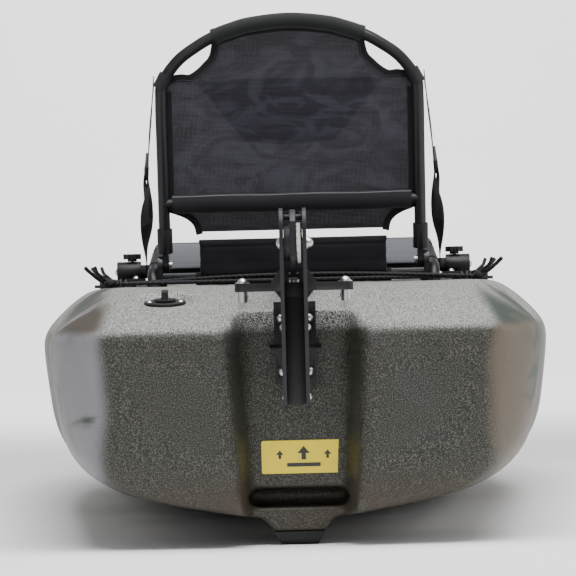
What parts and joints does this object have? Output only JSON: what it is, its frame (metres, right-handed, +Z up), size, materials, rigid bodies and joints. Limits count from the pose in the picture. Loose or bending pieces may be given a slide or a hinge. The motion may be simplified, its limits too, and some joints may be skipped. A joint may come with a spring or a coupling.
{
  "type": "sit-on-top fishing kayak",
  "caption": "Sit-on-top fishing kayak with a rotomoulded hull, a folding mesh seat on gear rails and a flip-up stern rudder.",
  "frame": {"origin": "middle of the box at the bottom of the skid plate, the level that the kayak stands on", "axes": "+X to starboard, +Y forward along the hull to the bow, +Z up"},
  "size_m": [0.8682, 3.175, 0.8129],
  "materials": {
    "hull_plastic": "granite-speckled rotomoulded polyethylene",
    "black_plastic": "black moulded plastic, satin",
    "black_nylon": "black glass-filled nylon",
    "black_rubber": "black rubber",
    "stainless": "stainless steel fasteners",
    "anodised_rail": "clear anodised extrusion",
    "black_tube": "black powder-coated tube",
    "seat_mesh": "navy-charcoal open mesh",
    "sling_fabric": "grey sling fabric",
    "black_fabric": "black padded fabric",
    "webbing": "black woven webbing",
    "label_yellow": "yellow vinyl",
    "bungee_cord": "black braided shock cord",
    "cable_wire": "coated steel cable",
    "haul_cord": "braided line"
  },
  "bodies": {
    "hull": {"hull": "hull_plastic", "skid_plate": "black_plastic", "skid_screws": "stainless", "recess_label": "label_yellow", "drain_flange": "black_plastic", "drain_screws": "stainless", "hatch_rim": "black_plastic", "hatch_seal": "black_rubber", "hatch_hinge_pin": "stainless", "latch_screw": "stainless", "bow_handle": "black_rubber", "bow_handle_screws": "stainless", "handle_ears": "black_plastic", "handle_pins": "stainless", "gear_rails": "anodised_rail", "rail_screws": "stainless", "rod_holder_left": "black_plastic", "rod_holder_right": "black_plastic", "pad_eyes": "black_nylon", "tankwell_bungee": "bungee_cord", "foot_rails": "anodised_rail", "rudder_bracket": "black_nylon", "bracket_bolts": "stainless", "yaw_pin": "stainless", "steering_cables": "cable_wire", "cable_fairleads": "black_rubber"},
    "rudder_head": {"rudder_yoke": "black_nylon", "rudder_cheeks": "black_nylon", "rudder_core": "black_nylon", "cheek_bolts": "stainless", "cable_bolts": "stainless"},
    "rudder_blade": {"rudder_blade": "black_nylon", "haul_line": "haul_cord"},
    "drain_plug": {"drain_plug": "black_plastic"},
    "hatch_lid": {"hatch_lid": "black_plastic"},
    "hatch_latch": {"hatch_latch": "black_plastic"},
    "side_handle_left": {"side_handle_left": "black_plastic"},
    "side_handle_right": {"side_handle_right": "black_plastic"},
    "seat": {"seat_base_frame": "black_tube", "seat_feet": "black_rubber", "seat_sling": "sling_fabric", "rear_tube_wrap": "black_fabric", "pivot_bolts": "stainless", "crossbar": "black_tube", "crossbar_saddles": "black_nylon", "clamp_blocks": "black_nylon", "clamp_studs": "stainless", "clamp_end_screws": "stainless", "back_strap_left": "webbing", "back_strap_right": "webbing", "strap_buckles": "black_nylon"},
    "seat_back": {"back_frame": "black_tube", "back_mesh": "seat_mesh", "top_grip": "black_fabric", "lumbar_panel": "black_fabric", "pivot_brackets": "black_nylon"},
    "clamp_knob_left": {"clamp_knob_left": "black_nylon"},
    "clamp_knob_right": {"clamp_knob_right": "black_nylon"},
    "foot_pedal_left": {"foot_pedal_left": "black_nylon"},
    "foot_pedal_right": {"foot_pedal_right": "black_nylon"}
  },
  "joints": [
    {"name": "rudder_yaw", "type": "hinge", "parent": "hull", "child": "rudder_head", "pos_m": [0, -1.4755, 0.35], "axis": [0, 0, 1], "range_deg": [-30, 30], "deforming": ["steering_cables"]},
    {"name": "blade_flip", "type": "hinge", "parent": "rudder_head", "child": "rudder_blade", "pos_m": [0, -1.5575, 0.428], "axis": [1, 0, 0], "range_deg": [0, 270]},
    {"name": "drain_plug_turn", "type": "hinge", "parent": "hull", "child": "drain_plug", "pos_m": [-0.186, -1.3825, 0.346], "axis": [0, -0.1392, 0.9903], "range_deg": [0, 90]},
    {"name": "hatch_lid_hinge", "type": "hinge", "parent": "hull", "child": "hatch_lid", "pos_m": [0, 1.3665, 0.4222], "axis": [1, 0, 0], "range_deg": [-110, 0]},
    {"name": "hatch_latch_turn", "type": "hinge", "parent": "hull", "child": "hatch_latch", "pos_m": [0, 1.0025, 0.42], "axis": [0, 0, 1], "range_deg": [0, 90]},
    {"name": "side_handle_left_swing", "type": "hinge", "parent": "hull", "child": "side_handle_left", "pos_m": [-0.418, 0.0375, 0.272], "axis": [0, 1, 0], "range_deg": [0, 80]},
    {"name": "side_handle_right_swing", "type": "hinge", "parent": "hull", "child": "side_handle_right", "pos_m": [0.418, 0.0375, 0.272], "axis": [0, 1, 0], "range_deg": [-80, 0]},
    {"name": "seat_slide", "type": "slide", "parent": "hull", "child": "seat", "axis": [0, 1, 0], "range_m": [-0.05, 0.05]},
    {"name": "seat_back_fold", "type": "hinge", "parent": "seat", "child": "seat_back", "pos_m": [0, -0.5025, 0.408], "axis": [1, 0, 0], "range_deg": [-90, 0], "deforming": ["back_strap_left", "back_strap_right", "strap_buckles"]},
    {"name": "clamp_knob_left_turn", "type": "hinge", "parent": "seat", "child": "clamp_knob_left", "pos_m": [-0.277, -0.1825, 0.43], "axis": [0, 0, 1], "continuous": true},
    {"name": "clamp_knob_right_turn", "type": "hinge", "parent": "seat", "child": "clamp_knob_right", "pos_m": [0.277, -0.1825, 0.43], "axis": [0, 0, 1], "continuous": true},
    {"name": "foot_pedal_left_slide", "type": "slide", "parent": "hull", "child": "foot_pedal_left", "axis": [0, 1, 0], "range_m": [-0.04, 0.04]},
    {"name": "foot_pedal_right_slide", "type": "slide", "parent": "hull", "child": "foot_pedal_right", "axis": [0, 1, 0], "range_m": [-0.04, 0.04]}
  ],
  "couplings": [
    {"joint": "foot_pedal_left_slide", "follows": "rudder_yaw", "m_per_rad": -0.073},
    {"joint": "foot_pedal_right_slide", "follows": "rudder_yaw", "m_per_rad": 0.073}
  ]
}
